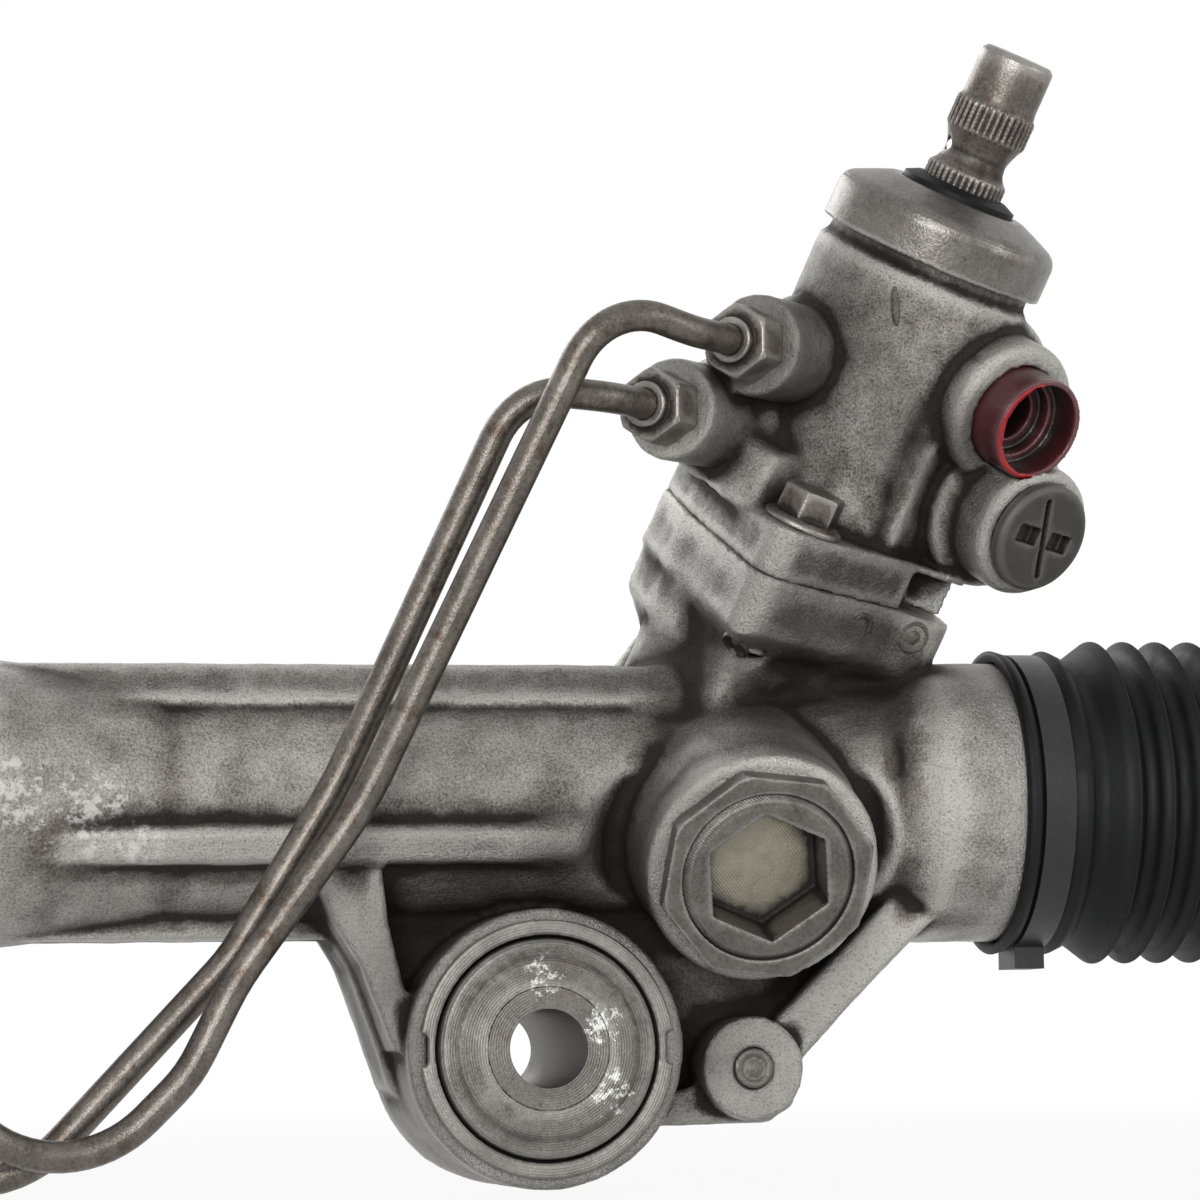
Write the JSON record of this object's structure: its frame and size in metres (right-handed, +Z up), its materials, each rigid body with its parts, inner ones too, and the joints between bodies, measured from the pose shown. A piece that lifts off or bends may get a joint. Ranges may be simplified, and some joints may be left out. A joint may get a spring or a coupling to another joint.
{
  "type": "steering rack",
  "caption": "Hydraulic rack and pinion steering gear with a rotary valve tower, power cylinder, rubber boots, inner tie rods and two bushed mounting bores.",
  "frame": {"origin": "middle of the pinion side mounting bore, on its axis", "axes": "+X along the rack toward the pinion side tie rod, +Y along the mounting bores to the rear, +Z up"},
  "size_m": [1.1526, 0.1143, 0.2396],
  "materials": {
    "cast_alloy": "dark sandblasted casting",
    "machined_steel": "machined and dulled",
    "pressed_steel": "drawn steel, brushed",
    "dark_steel": "dark phosphated steel",
    "tube_steel": "drawn tube, painted thinly",
    "ground_steel": "ground and oiled",
    "bearing_steel": "polished",
    "plated_steel": "zinc plated",
    "black_rubber": "satin",
    "clamp_band": "blackened steel",
    "red_plastic": "glossy moulding",
    "dark_plastic": "matt moulding",
    "pale_plastic": "matt moulding",
    "guide_alloy": "turned",
    "bronze": "sintered"
  },
  "bodies": {
    "housing": {"rack_housing": "cast_alloy", "valve_housing": "cast_alloy", "valve_housing_bolts": "dark_steel", "dust_cap": "pressed_steel", "dust_seal": "black_rubber", "input_shaft_seal": "black_rubber", "input_shaft_bearing": "bearing_steel", "pressure_port_cap": "red_plastic", "return_port_plug": "dark_plastic", "rack_guide": "guide_alloy", "rack_guide_liner": "bronze", "rack_guide_spring": "bearing_steel", "rack_guide_plug": "machined_steel", "rack_guide_lock_nut": "machined_steel", "dowel_pin": "machined_steel", "main_bearing_outer_ring": "bearing_steel", "pinion_seal": "black_rubber", "lower_pinion_bearing": "bearing_steel", "lower_cap": "cast_alloy", "cylinder_tube": "tube_steel", "cylinder_end_housing": "cast_alloy", "seal_holder": "cast_alloy", "rod_seals": "black_rubber", "rack_bushing": "pale_plastic", "cylinder_mount_bracket": "cast_alloy", "cylinder_mount_screw": "dark_steel", "flare_nuts": "dark_steel", "right_turn_line": "dark_steel", "left_turn_line": "dark_steel", "bush_outer_sleeves": "machined_steel", "bush_rubbers": "black_rubber", "bush_washers": "machined_steel", "pinion_side_bush_inner_sleeve": "machined_steel", "cylinder_side_bush_inner_sleeve": "machined_steel", "boot_clamps": "clamp_band", "right_boot": "black_rubber", "left_boot": "black_rubber"},
    "rack": {"rack_bar": "ground_steel", "piston": "ground_steel", "piston_seal_ring": "pale_plastic", "right_socket": "plated_steel", "left_socket": "plated_steel", "lock_washers": "plated_steel"},
    "pinion": {"pinion_shaft": "ground_steel", "main_bearing_inner_ring": "bearing_steel", "main_bearing_balls": "bearing_steel", "valve_sleeve": "ground_steel", "sleeve_seal_rings": "pale_plastic"},
    "input_shaft": {"input_shaft": "dark_steel", "torsion_bar": "ground_steel", "torsion_pin": "ground_steel"},
    "right_seat": {"right_ball_seat": "pale_plastic"},
    "left_seat": {"left_ball_seat": "pale_plastic"},
    "right_rod": {"right_tie_rod": "plated_steel", "right_jam_nut": "plated_steel", "right_small_clip": "plated_steel"},
    "left_rod": {"left_tie_rod": "plated_steel", "left_jam_nut": "plated_steel", "left_small_clip": "plated_steel"}
  },
  "joints": [
    {"name": "rack_slide", "type": "slide", "parent": "housing", "child": "rack", "axis": [1, 0, 0], "range_m": [-0.075, 0.075], "deforming": ["right_boot", "left_boot"]},
    {"name": "pinion_turn", "type": "hinge", "parent": "housing", "child": "pinion", "pos_m": [0.0439, 0.01759, 0.05928], "axis": [0.342, -0.3551, 0.87], "range_deg": [-534, 534]},
    {"name": "valve_twist", "type": "hinge", "parent": "pinion", "child": "input_shaft", "pos_m": [0.0439, 0.01759, 0.05928], "axis": [0.342, -0.3551, 0.87], "range_deg": [-4, 4], "stiffness_Nm_per_rad": 60},
    {"name": "right_tie_rod_lift", "type": "hinge", "parent": "rack", "child": "right_seat", "pos_m": [0.2172, 0, 0.0521], "axis": [0, 1, 0], "range_deg": [-18, 18]},
    {"name": "right_tie_rod_sweep", "type": "hinge", "parent": "right_seat", "child": "right_rod", "pos_m": [0.2172, 0, 0.0521], "axis": [0, 0, 1], "range_deg": [-18, 18]},
    {"name": "left_tie_rod_lift", "type": "hinge", "parent": "rack", "child": "left_seat", "pos_m": [-0.4754, 0, 0.0521], "axis": [0, 1, 0], "range_deg": [-18, 18]},
    {"name": "left_tie_rod_sweep", "type": "hinge", "parent": "left_seat", "child": "left_rod", "pos_m": [-0.4754, 0, 0.0521], "axis": [0, 0, 1], "range_deg": [-18, 18]}
  ],
  "couplings": [
    {"joint": "pinion_turn", "follows": "rack_slide", "rad_per_m": 124.22}
  ]
}
